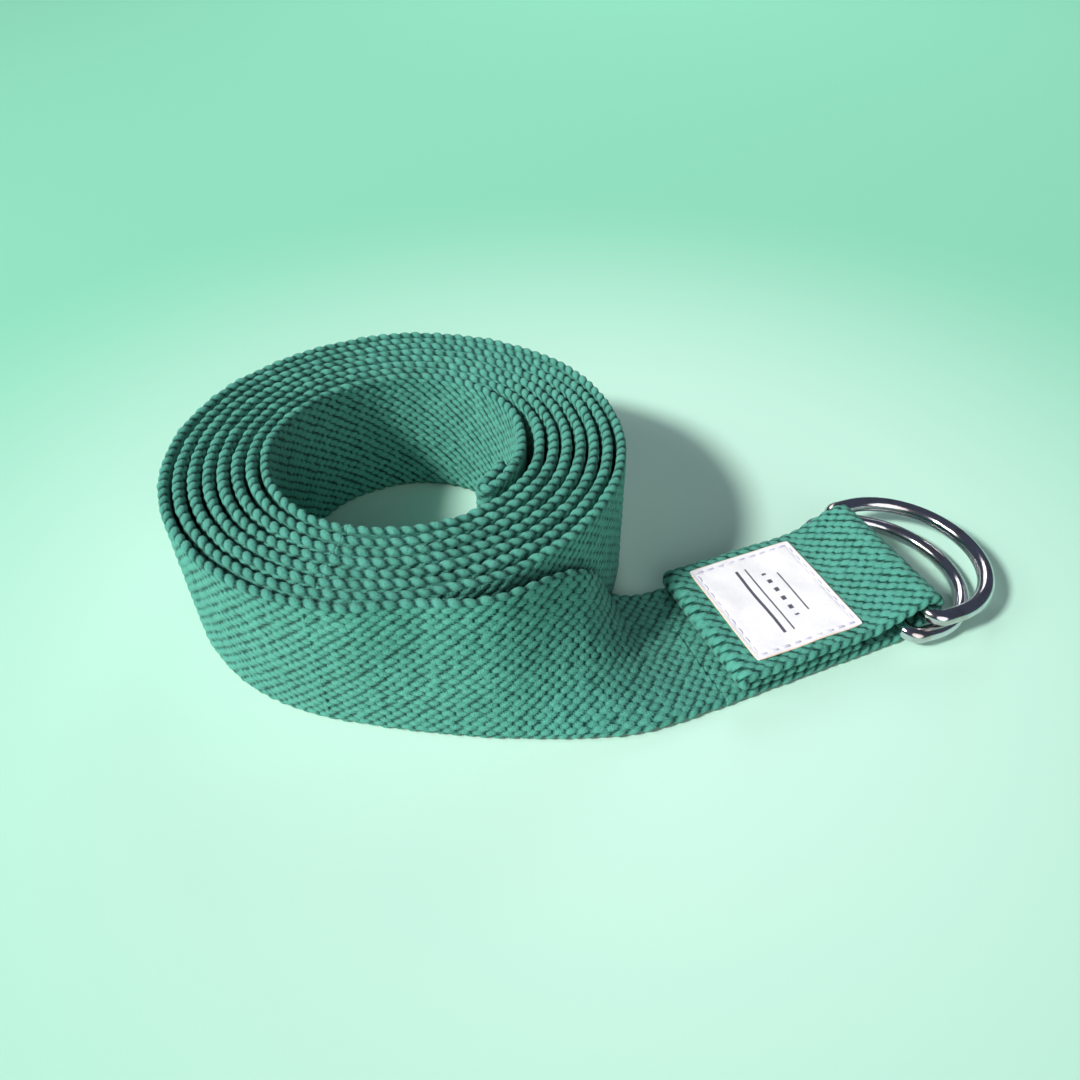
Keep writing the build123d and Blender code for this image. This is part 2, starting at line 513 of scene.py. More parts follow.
@dataclass(frozen=True)
class Course:
    """The webbing's middle line: at each station its place, the way across, and the way out."""

    centre: np.ndarray
    across: np.ndarray
    outward: np.ndarray
    run: np.ndarray

    @classmethod
    def along(cls, centre: np.ndarray, across: np.ndarray, outward: np.ndarray) -> "Course":
        """A course whose run is the length of its line, counted from its first station."""
        steps = np.linalg.norm(np.diff(centre, axis=0), axis=1)
        return cls(centre, unit(across), unit(outward), np.concatenate([[0.0], np.cumsum(steps)]))

    def then(self, other: "Course") -> "Course":
        """This course followed by one that starts where it ends."""
        return Course(
            np.concatenate([self.centre, other.centre[1:]]),
            np.concatenate([self.across, other.across[1:]]),
            np.concatenate([self.outward, other.outward[1:]]),
            np.concatenate([self.run, self.run[-1] + other.run[1:]]),
        )

    def between(self, start: float, end: float, step: float) -> "Course":
        """The stretch from start to end, with stations near one step apart on a shared ruler.

        Args:
            start: the run of the first station.
            end: the run of the last station.
            step: the distance between stations.

        Returns:
            The course, its numbers read in straight lines between this one's stations.
        """
        ruler = np.arange(math.ceil(start / step + 0.3), math.floor(end / step - 0.3) + 1) * step
        places = np.concatenate([[start], ruler, [end]])

        def read(numbers: np.ndarray) -> np.ndarray:
            """Each column at the new places."""
            return np.stack([np.interp(places, self.run, c) for c in numbers.T], axis=1)

        return Course(read(self.centre), unit(read(self.across)), unit(read(self.outward)), places)


@dataclass
class Webbing:
    """Makes closed pieces of woven webbing along a course."""

    weave: Weave
    material: bpy.types.Material
    rim_wander: float = 0.3
    face_wander: float = 0.12

    def shell(self, course: Course, relief: Relief) -> Shell:
        """The closed skin of one stretch of webbing.

        A point is the course's middle line, plus its place across and through the webbing,
        moved along the section's own normal by the depth of the weave. Two slow drifts
        move the upper rim and the whole band a little, as wound cotton does.

        Args:
            course: where the webbing lies.
            relief: which faces show their weave.

        Returns:
            The skin, with the weave's place and height kept at each point.
        """
        weave, section = self.weave, Section.of(self.weave, relief)
        run = (course.run / weave.period)[:, None]
        across = section.across[None, :] + 0 * run
        on_rim = (section.rim >= 0)[None, :]
        grains = weave.grains(section.row[None, :], run, np.round(section.side)[None, :])
        beads = weave.beads(section.turn[None, :], run, np.maximum(section.rim, 0)[None, :])
        height = np.where(on_rim, beads, grains)
        depth = np.where(on_rim, weave.rim_relief, weave.relief) * (1 - height)
        sunk = np.where(section.shown[None, :] > 0.5, depth, 0.55 * weave.relief)
        share = (across + weave.width / 2) / weave.width
        lift = self.rim_wander * drift(course.run, 61.0, 0.7)[:, None] * share
        sway = self.face_wander * drift(course.run, 47.0, 2.9)[:, None]
        wide = across - sunk * section.normal_across[None, :] + lift
        deep = section.depth[None, :] - sunk * section.normal_depth[None, :] + sway
        points = (
            course.centre[:, None, :]
            + wide[..., None] * course.across[:, None, :]
            + deep[..., None] * course.outward[:, None, :]
        )
        stations, around = height.shape
        middle = points[[0, -1]].mean(axis=1)
        place = np.stack(
            [
                section.row[None, :] * weave.pitch + 0 * run,
                run * weave.period + 0 * across,
                section.side[None, :] * 9.0 + 0 * run,
            ],
            axis=-1,
        )
        # the weave's height, from which the cotton finish paints shade into the grooves and part of the
        # crowns' lightness as a highlight
        crown = np.where(section.shown[None, :] > 0.5, height, 0.5)
        count = stations * around
        faces = tube_faces(stations, around)
        faces += cap_faces(0, around, count, True)
        faces += cap_faces(count - around, around, count + 1, False)
        ends = [0, count - 1]
        flat_place, flat_crown = place.reshape(-1, 3), crown.ravel()
        return Shell(
            np.concatenate([points.reshape(-1, 3), middle]),
            faces,
            {
                "weave_place": np.concatenate([flat_place, flat_place[ends]]),
                "crown": np.concatenate([flat_crown, flat_crown[ends]]),
            },
        )

    def piece(self, name: str, course: Course, relief: Relief) -> bpy.types.Object:
        """One finished stretch of webbing."""
        made = self.shell(course, relief).piece(name, self.material, Slot.WEBBING)
        length = float(course.run[-1] - course.run[0])
        self.weave.width * MM
        return made


# ---- the strap's course ----


@dataclass(frozen=True)
class RollCourse:
    """The wound part: a spiral about an upright axis, from the free end out to the tail."""

    axis: tuple[float, float] = (-39.184, 13.631)
    end_radius: float = 57.1
    turn_pitch: float = 3.35
    sweep: float = 2794.0
    leaves_at: float = -126.0
    standoff: float = 1.4
    standoff_sweep: float = 100.0
    floor: float = 0.012
    half_width: float = 19.0

    @property
    def free_end_azimuth(self) -> float:
        """Direction of the free end from the axis, in degrees."""
        return self.leaves_at - self.sweep

    def radius(self, sweep: np.ndarray) -> np.ndarray:
        """Radius of the webbing's middle after a sweep, in degrees, from the free end."""
        spiral = self.end_radius - self.turn_pitch * (self.sweep - sweep) / 360
        return spiral - self.standoff * (1 - ease(sweep / self.standoff_sweep))

    def point(self, radius: np.ndarray, azimuth: np.ndarray, height: float) -> np.ndarray:
        """Places at a radius and an azimuth, in degrees, about the roll's axis."""
        angle = np.radians(azimuth)
        x = self.axis[0] + radius * np.cos(angle)
        y = self.axis[1] + radius * np.sin(angle)
        return np.stack([x, y, height + 0 * x], axis=-1)

    def course(self) -> Course:
        """The spiral as a course."""
        sweep = np.linspace(0, self.sweep, 6000)
        azimuth = self.free_end_azimuth + sweep
        centre = self.point(self.radius(sweep), azimuth, self.floor + self.half_width)
        outward = self.point(np.ones_like(sweep), azimuth, 0) - self.point(0 * sweep, azimuth, 0)
        return Course.along(centre, np.broadcast_to(UP, centre.shape), outward)

    def turn_starts(self, course: Course) -> list[float]:
        """Runs at which one turn ends and the next begins, counted back from the tail."""
        sweep = np.linspace(0, self.sweep, 6000)
        marks = np.arange(self.sweep, 0, -360.0)[::-1]
        return np.interp(marks, sweep, course.run).tolist()


@dataclass(frozen=True)
class HemCourse:
    """The free end, turned back once towards the roll's axis."""

    layer_length: float = 11.0
    flap_length: float = 9.0
    curve_radius: float = 27.0
    fold_radius: float = 1.45

    def course(self, roll: RollCourse) -> Course:
        """The hem as a course, from the flap's cut end to the roll's free end.

        In plan the flap, the fold and the layer are three arcs, each with a turn that
        grows evenly with its length.

        Args:
            roll: the roll that the hem ends in.

        Returns:
            The course.
        """
        flap_radius = self.curve_radius - 2 * self.fold_radius
        arcs = (
            (self.layer_length, 1 / self.curve_radius),
            (math.pi * self.fold_radius, 1 / self.fold_radius),
            (self.flap_length, -1 / flap_radius),
        )
        line, heading = plan_line(arcs, 0.05)
        azimuth = math.radians(roll.free_end_azimuth)
        back = np.array([math.sin(azimuth), -math.cos(azimuth), 0.0])
        inward = np.array([-math.cos(azimuth), -math.sin(azimuth), 0.0])
        middle_height = roll.floor + roll.half_width
        start = roll.point(roll.radius(np.zeros(1)), np.array([roll.free_end_azimuth]), middle_height)[0]
        centre = start + line[:, :1] * back + line[:, 1:] * inward
        way = np.cos(heading)[:, None] * back + np.sin(heading)[:, None] * inward
        outward = np.cross(-way, UP)
        turned = [part[::-1] for part in (centre, outward)]
        return Course.along(turned[0], np.broadcast_to(UP, centre.shape), turned[1])


def plan_line(arcs: Iterable[tuple[float, float]], step: float) -> tuple[np.ndarray, np.ndarray]:
    """A flat line of arcs and straights that starts at the origin along the first axis.

    The heading is the running total of each stretch's curvature times its length, and the
    place is the running total of the heading's cosine and sine.

    Args:
        arcs: the length and the curvature of each stretch, 0 where it is straight.
        step: the distance between points, at most.

    Returns:
        The points, two numbers each, and the heading at each one in radians.
    """
    places, curvatures = [0.0], []
    for length, curvature in arcs:
        count = max(2, math.ceil(length / step))
        places.extend(places[-1] + length * (np.arange(count) + 1) / count)
        curvatures.extend([curvature] * count)
    steps = np.diff(places)
    turns = steps * np.array(curvatures)
    heading = np.concatenate([[0.0], np.cumsum(turns)])
    middle = heading[:-1] + turns / 2
    moves = np.stack([steps * np.cos(middle), steps * np.sin(middle)], axis=1)
    return np.concatenate([[[0.0, 0.0]], np.cumsum(moves, axis=0)]), heading


@dataclass(frozen=True)
class TailCourse:
    """The run from the roll to the flat end, which leans over as it goes."""

    easy_length: float = 58.0
    easy_angle: float = 12.0
    tight_length: float = 22.0
    length: float = 92.0
    twist_start: float = 24.0
    last_lean: float = 88.0
    early_lean: float = 6.5
    early_lean_start: float = 5.0
    early_lean_length: float = 40.0
    half_thickness: float = 1.4

    def course(self, roll: RollCourse) -> Course:
        """The tail as a course.

        The lower edge follows two arcs and a straight on the floor. The webbing leans over
        it by the smooth step of the length, plus a squared sine where it nestles against
        the roll, and its middle is half a width up the lean.

        Args:
            roll: the roll that the tail leaves.

        Returns:
            The course.
        """
        heading = math.radians(roll.leaves_at + 90)
        easy = math.radians(self.easy_angle)
        arcs = (
            (self.easy_length, easy / self.easy_length),
            (self.tight_length, (-heading - easy) / self.tight_length),
            (self.length - self.easy_length - self.tight_length, 0.0),
        )
        line, turned = plan_line(arcs, 0.25)
        first = np.array([math.cos(heading), math.sin(heading), 0.0])
        left = np.array([-first[1], first[0], 0.0])
        start = roll.point(np.array([roll.end_radius]), np.array([roll.leaves_at]), roll.floor)[0]
        edge = start + line[:, :1] * first + line[:, 1:] * left
        way = np.cos(turned)[:, None] * first + np.sin(turned)[:, None] * left
        far = np.cross(UP, way)
        places = np.concatenate([[0.0], np.cumsum(np.linalg.norm(np.diff(line, axis=0), axis=1))])
        share = (places - self.twist_start) / (self.length - self.twist_start)
        nestled = np.clip((places - self.early_lean_start) / self.early_lean_length, 0, 1)
        nestle = self.early_lean * np.sin(math.pi * nestled) ** 2
        lean = np.radians(self.last_lean * ease(share) + nestle)[:, None]
        across = np.sin(lean) * far + np.cos(lean) * UP
        edge = edge + UP * self.half_thickness * np.sin(lean)
        return Course.along(edge + across * roll.half_width, across, np.cross(way, across))


@dataclass(frozen=True)
class FlatEnd:
    """The place and the tilt of the flat end: X along the strap, Y across it, Z up."""

    origin: tuple[float, float, float] = (10.753, -66.002, 0.012)
    tilt: float = 2.0
    width: float = 38.0

    def place(self, local: np.ndarray) -> np.ndarray:
        """Points of the flat end's own frame in the row frame."""
        return np.array(self.origin) + self.turn(local)

    def turn(self, local: np.ndarray) -> np.ndarray:
        """Directions of the flat end's own frame in the row frame."""
        angle = math.radians(self.tilt)
        x_way = np.array([1.0, 0.0, 0.0])
        y_way = np.array([0.0, math.cos(angle), math.sin(angle)])
        z_way = np.cross(x_way, y_way)
        return local[..., :1] * x_way + local[..., 1:2] * y_way + local[..., 2:] * z_way


@dataclass(frozen=True)
class LoopCourse:
    """The flat end: out to the rings, round their bars, back over itself and turned under."""

    first_bar: float = 49.9
    loop_radius: float = 3.7
    climb: float = 30.4
    bar_run: float = 6.956
    slope: float = 20.0
    slope_radius: float = 12.0
    top_layer: float = 7.2
    low_layer: float = 1.4
    fold_at: float = 5.85
    fold_radius: float = 1.45
    under_end: float = 37.0

    def course(self, flat_end: FlatEnd) -> Course:
        """The loop as a course, in the row frame.

        Seen from the side it is a chain of arcs and straights. The straight down the slope
        is as long as its drop over the sine of the slope, and the top layer is as long as
        brings the line back to the fold.

        Args:
            flat_end: where the flat end lies.

        Returns:
            The course.
        """
        climb, slope = math.radians(self.climb), math.radians(self.slope)
        over = math.pi + slope - climb
        start = [
            (self.first_bar, 0.0),
            (self.loop_radius * climb, 1 / self.loop_radius),
            (self.bar_run, 0.0),
            (self.loop_radius * over, 1 / self.loop_radius),
        ]
        line, _ = plan_line(start, 0.1)
        drop = line[-1, 1] + self.low_layer - self.top_layer
        drop -= self.slope_radius * (1 - math.cos(slope))
        down = drop / math.sin(slope)
        reach = line[-1, 0] - down * math.cos(slope) - self.slope_radius * math.sin(slope)
        rest = [
            (down, 0.0),
            (self.slope_radius * slope, -1 / self.slope_radius),
            (reach - self.fold_at, 0.0),
            (math.pi * self.fold_radius, 1 / self.fold_radius),
            (self.under_end - self.fold_at, 0.0),
        ]
        line, heading = plan_line(start + rest, 0.1)
        half = 0 * heading + flat_end.width / 2
        centre = np.stack([line[:, 0], half, line[:, 1] + self.low_layer], axis=1)
        outward = np.stack([-np.sin(heading), 0 * heading, np.cos(heading)], axis=1)
        across = np.broadcast_to(np.array([0.0, 1.0, 0.0]), centre.shape)
        return Course.along(flat_end.place(centre), flat_end.turn(across), flat_end.turn(outward))


# ---- finishes ----


@dataclass(frozen=True)
class CottonFinish:
    """Dyed cotton webbing: matt, fibrous, darker in its grooves by painted shade, lighter on its crowns by
    worn fuzz and a painted highlight.
    """

    # crown: the grains' tops, partly worn fuzz and partly painted highlight; groove: painted shade between
    # the grains
    crown: Colour = (0.112, 0.420, 0.335)
    body: Colour = (0.060, 0.285, 0.222)
    groove: Colour = (0.004, 0.040, 0.030)

    def material(self) -> bpy.types.Material:
        """Colour from the weave's height (painted shade in the grooves, lighter crowns from worn fuzz and
        a painted highlight), uneven dye and fibres, and a bump of twisted fibres.
        """
        paint = Paint("cotton_webbing")
        weave = paint.attribute("weave_place", "Vector")
        crown = paint.attribute("crown")
        place = paint.place()
        dye = paint.noise(place, 55.0, 3.0)
        yarn = paint.noise(weave, 0.85, 2.0)
        fibre = paint.noise(paint.stretched(weave, (3.0, 1.2, 1.0), 24.0), 1.0, 5.0)
        fuzz = paint.noise(weave, 2.6, 4.0)
        uneven_yarn = 0.9 * (fibre - 0.5) + 0.35 * (yarn - 0.5) + 0.5 * (fuzz - 0.5)
        # lighter towards the crown colour on high grains: partly worn fuzz, partly painted highlight
        lightness = paint.span(crown + uneven_yarn, 0.25, 1.0, 0, 1)
        body = paint.mix(lightness, self.body, self.crown)
        uneven = paint.mix(paint.span(dye, 0.35, 0.7, 0.0, 0.35), body, self.body)
        # depth is the painted shade mask: the groove colour darkens the cotton where the weave is low
        depth = paint.span(crown + 0.45 * (fuzz - 0.5), 0.12, 0.66, 0.0, 1.0)
        colour = paint.mix(depth, self.groove, uneven)
        height = 0.55 * fibre + 0.45 * fuzz
        return paint.finish(
            Base_Color=colour,
            Roughness=0.92,
            Specular_IOR_Level=0.12,
            Sheen_Weight=0.18,
            Sheen_Roughness=0.45,
            Sheen_Tint=(0.55, 0.85, 0.75),
            Normal=paint.bump(height, 0.0008, 1.0),
        )


@dataclass(frozen=True)
class ThreadFinish:
    """Sewing thread, with the slanted lines of its ply."""

    name: str
    colour: Colour
    shade: Colour

    def material(self) -> bpy.types.Material:
        """Colour and bump from fine slanted ply lines and a slow unevenness."""
        paint = Paint(self.name)
        place = paint.place()
        ply = paint.noise(paint.stretched(place, (1.0, 1.0, 0.4), 35.0), 4200.0, 1.0)
        wear = paint.noise(place, 260.0, 2.0)
        colour = paint.mix(paint.span(ply * 0.6 + wear * 0.4, 0.35, 0.65, 0, 1), self.shade, self.colour)
        return paint.finish(
            Base_Color=colour,
            Roughness=0.6,
            Specular_IOR_Level=0.3,
            Sheen_Weight=0.2,
            Normal=paint.bump(ply, 0.00008),
        )


@dataclass(frozen=True)
class LabelFinish:
    """White woven label cloth with a warm cut edge and plain printed rules."""

    cloth: Colour = (0.95, 0.95, 0.97)
    shade: Colour = (0.84, 0.84, 0.90)
    edge: Colour = (0.78, 0.60, 0.46)
    ink: Colour = (0.02, 0.022, 0.06)

    def material(self) -> bpy.types.Material:
        """Fine cloth grain, a frayed edge by distance to the outline, and the printed rules."""
        paint = Paint("label_cloth")
        place = paint.attribute("label_place", "Vector")
        border = paint.attribute("border")
        print_mask = paint.attribute("printed")
        warp = paint.noise(paint.stretched(place, (0.8, 9.0, 1.0)), 1.0, 1.0)
        weft = paint.noise(paint.stretched(place, (9.0, 0.8, 1.0)), 1.0, 1.0)
        cloud = paint.noise(place, 0.16, 2.0)
        grain = warp * 0.5 + weft * 0.5
        lightness = paint.span(grain * 0.7 + cloud * 0.5, 0.40, 0.72, 0, 1)
        cloth = paint.mix(lightness, self.shade, self.cloth)
        ragged = border + 0.5 * (paint.noise(place, 2.4, 2.0) - 0.5)
        cloth = paint.mix(paint.span(ragged, 0.05, 0.45, 1.0, 0.0), cloth, self.edge)
        ink_share = paint.span(print_mask + 0.35 * (grain - 0.5), 0.42, 0.58, 0.0, 0.92)
        colour = paint.mix(ink_share, cloth, self.ink)
        return paint.finish(
            Base_Color=colour,
            Roughness=0.78,
            Specular_IOR_Level=0.2,
            Sheen_Weight=0.1,
            Normal=paint.bump(grain, 0.00012),
        )


@dataclass(frozen=True)
class RingFinish:
    """Polished plated steel with faint drawing lines and handling marks."""

    colour: Colour = (0.66, 0.65, 0.70)
    # a browner tint of the metal, laid in slow patches
    browner: Colour = (0.50, 0.43, 0.40)

    def material(self) -> bpy.types.Material:
        """Metal whose roughness changes a little with smears and fine lines, and whose colour turns
        browner in slow patches.
        """
        paint = Paint("plated_steel")
        place = paint.place()
        wire = paint.attribute("wire_place", "Vector")
        smear = paint.noise(place, 180.0, 3.0)
        lines = paint.noise(paint.stretched(wire, (0.5, 9.0, 1.0)), 1.0, 2.0)
        # the metal's colour turns browner in slow patches
        colour = paint.mix(paint.span(smear, 0.45, 0.75, 0, 1), self.colour, self.browner)
        roughness = paint.span(smear * 0.7 + lines * 0.3, 0.3, 0.75, 0.07, 0.20)
        return paint.finish(
            Base_Color=colour,
            Metallic=1.0,
            Roughness=roughness,
            Normal=paint.bump(lines, 0.00002, 0.5),
        )


# ---- sub-assemblies ----


@dataclass
class WoundWebbing:
    """The hem, the turns of the roll and the tail: all that stays still on the floor."""

    webbing: Webbing
    roll: RollCourse = field(default_factory=RollCourse)
    hem: HemCourse = field(default_factory=HemCourse)
    tail: TailCourse = field(default_factory=TailCourse)
    bend_length: float = 5.0
    hinge: tuple[float, float, float] = (10.753, -47.1, 1.4)

    def build(self) -> float:
        """Builds the three kinds of piece.

        Returns:
            The run at the tail's end, where the flat end takes over.
        """
        hem, roll, tail = self.hem.course(self.roll), self.roll.course(), self.tail.course(self.roll)
        whole = hem.then(roll).then(tail)
        free_end = float(hem.run[-1])
        tail_start = free_end + float(roll.run[-1])
        step = self.webbing.weave.period / self.webbing.weave.steps_per_period
        made = self.webbing.piece("free_end_hem_fold", whole.between(0, free_end, step), Relief.BOTH_FACES)
        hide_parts("free_end_hem")
        self.keep(made)
        marks = [free_end, *(free_end + mark for mark in self.roll.turn_starts(roll))]
        for index, (start, end) in enumerate(zip(marks[:-1], marks[1:])):
            self.turn(whole.between(start, end, step), index, len(marks) - 1)
        end = float(whole.run[-1])
        made = self.webbing.piece("leaning_tail", whole.between(tail_start, end, step), Relief.BOTH_FACES)
        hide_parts("webbing_twisted_tail")
        hinge_x, hinge_y, hinge_z = self.hinge
        start_point = (MM * (hinge_x - self.bend_length), MM * hinge_y, MM * hinge_z)
        end_point = (MM * hinge_x, MM * hinge_y, MM * hinge_z)
        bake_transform(made)
        LOG.info("%s from %.0f to %.0f mm", made.name, tail_start, end)
        return end

    def turn(self, course: Course, index: int, count: int) -> None:
        """One turn: its open face woven where it is the first or the last, its rims always."""
        relief = Relief.RIMS_ONLY
        if index <= 1:
            relief = Relief.INNER_FACE
        if index == count - 1:
            relief = Relief.OUTER_FACE
        made = self.webbing.piece(f"roll_turn_{index + 1}", course, relief)
        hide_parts("webbing_roll")
        self.keep(made)

    def keep(self, made: bpy.types.Object) -> None:
        """Lets a piece stay with the roll."""
        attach(made, Body.ROLL.value)
        LOG.info("%s: %d points", made.name, len(made.data.vertices))


@dataclass
class RingLoop:
    """The webbing of the flat end, folded round the rings' bars."""

    webbing: Webbing
    place: FlatEnd
    line: LoopCourse = field(default_factory=LoopCourse)

    def build(self, run: float) -> None:
        """Builds the loop, its weave carrying on from the tail's end at that run."""
        step = self.webbing.weave.period / self.webbing.weave.steps_per_period
        course = self.line.course(self.place)
        course = Course(course.centre, course.across, course.outward, course.run + run)
        whole = course.between(run, float(course.run[-1]), step)
        made = self.webbing.piece("ring_loop_webbing", whole, Relief.BOTH_FACES)
        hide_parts("webbing_ring_loop")
        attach(made, Body.FLAT_END.value)
        LOG.info("%s: %d points", made.name, len(made.data.vertices))


@dataclass
class DRing:
    """One D-shaped ring of round wire: a straight bar, two short legs and a half-round bow."""

    name: str
    node: str
    body: Body
    bar_x: float
    bar_z: float
    droop: float
    place: FlatEnd
    material: bpy.types.Material
    half_width: float = 21.5
    leg_length: float = 7.1
    corner_radius: float = 3.2
    wire_radius: float = 2.0
    around: int = 28
    step: float = 0.55

    def outline(self) -> tuple[np.ndarray, np.ndarray]:
        """The wire's middle line in its own plane, from the bar's middle round and back."""
        straight = self.half_width - self.corner_radius
        quarter = math.pi / 2 * self.corner_radius
        arcs = (
            (straight, 0.0),
            (quarter, 1 / self.corner_radius),
            (self.leg_length - self.corner_radius, 0.0),
            (math.pi * self.half_width, 1 / self.half_width),
            (self.leg_length - self.corner_radius, 0.0),
            (quarter, 1 / self.corner_radius),
            (straight, 0.0),
        )
        line, heading = plan_line(arcs, self.step)
        return line[:-1], heading[:-1]

    def mesh(self) -> Shell:
        """The wire's skin: a circle carried round the outline.

        A point is the middle line plus the wire's radius times the circle's cosine along
        the outline's own normal and its sine along the ring's normal.

        Returns:
            The skin.
        """
        line, heading = self.outline()
        droop = math.radians(self.droop)
        forward = np.array([math.cos(droop), 0.0, -math.sin(droop)])
        sideways = np.array([0.0, -1.0, 0.0])
        lift = np.cross(sideways, forward)
        middle = np.array([self.bar_x, self.place.width / 2, self.bar_z])
        centre = middle + line[:, :1] * sideways + line[:, 1:] * forward
        inward = -np.sin(heading)[:, None] * sideways + np.cos(heading)[:, None] * forward
        angle = 2 * math.pi * np.arange(self.around) / self.around
        rim = np.cos(angle)[None, :, None] * inward[:, None, :]
        rim = rim + np.sin(angle)[None, :, None] * lift
        points = self.place.place(centre[:, None, :] + self.wire_radius * rim)
        run = np.arange(len(line))[:, None] * self.step + 0 * angle
        turn = np.abs(angle - math.pi)[None, :] * self.wire_radius + 0 * run
        value = np.stack([run, turn, 0 * run], axis=-1).reshape(-1, 3)
        faces = tube_faces(len(line), self.around, closed=True)
        return Shell(points.reshape(-1, 3), faces, {"wire_place": value})

    def build(self) -> None:
        """Builds the ring on its own body."""
        made = self.mesh().piece(self.name, self.material, Slot.RING_METAL)
        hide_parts(self.node)
        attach(made, self.body.value)
        LOG.info("%s: %d points", made.name, len(made.data.vertices))


@dataclass(frozen=True)
class StitchShape:
    """One stitch: a short thread that rises from the cloth and dives back into it."""

    length: float = 2.3
    thickness: float = 0.5
    height: float = 0.22
    stations: int = 7
    around: int = 6

    def shells(self, feet: np.ndarray, along: np.ndarray, up: np.ndarray) -> Shell:
        """A shell of one stitch at each foot.

        The thread's middle rises by one minus the fourth power of the share of its length,
        and its thickness falls off the same way at its two ends.

        Args:
            feet: the middle of each stitch on the cloth.
            along: each stitch's direction.
            up: each stitch's way out of the cloth.

        Returns:
            All the stitches as one mesh.
        """
        share = np.linspace(-1, 1, self.stations)
        fall = 1 - np.abs(share) ** 4
        angle = 2 * math.pi * np.arange(self.around) / self.around
        wide = self.thickness / 2 * np.sqrt(np.clip(fall, 0.05, 1))[:, None]
        side = np.cross(up, along)
        rise = (self.height * 0.5 * (2 * fall - 1))[:, None] + wide * 0.6 * np.sin(angle)
        points = (
            feet[:, None, None, :]
            + (self.length / 2 * share)[None, :, None, None] * along[:, None, None, :]
            + (wide * np.cos(angle))[None, :, :, None] * side[:, None, None, :]
            + rise[None, :, :, None] * up[:, None, None, :]
        )
        tips = points[:, [0, -1]].mean(axis=2)
        count, size = len(feet), self.stations * self.around
        faces = tube_faces(self.stations, self.around)
        faces += cap_faces(0, self.around, size, True)
        faces += cap_faces(size - self.around, self.around, size + 1, False)
        whole = np.concatenate([points.reshape(count, size, 3), tips], axis=1)
        shift = np.arange(count) * (size + 2)
        quads = np.array(faces[: (self.stations - 1) * self.around])[None] + shift[:, None, None]
        fans = np.array(faces[(self.stations - 1) * self.around :])[None] + shift[:, None, None]
        everything = quads.reshape(-1, 4).tolist() + fans.reshape(-1, 3).tolist()
        return Shell(whole.reshape(-1, 3), everything)


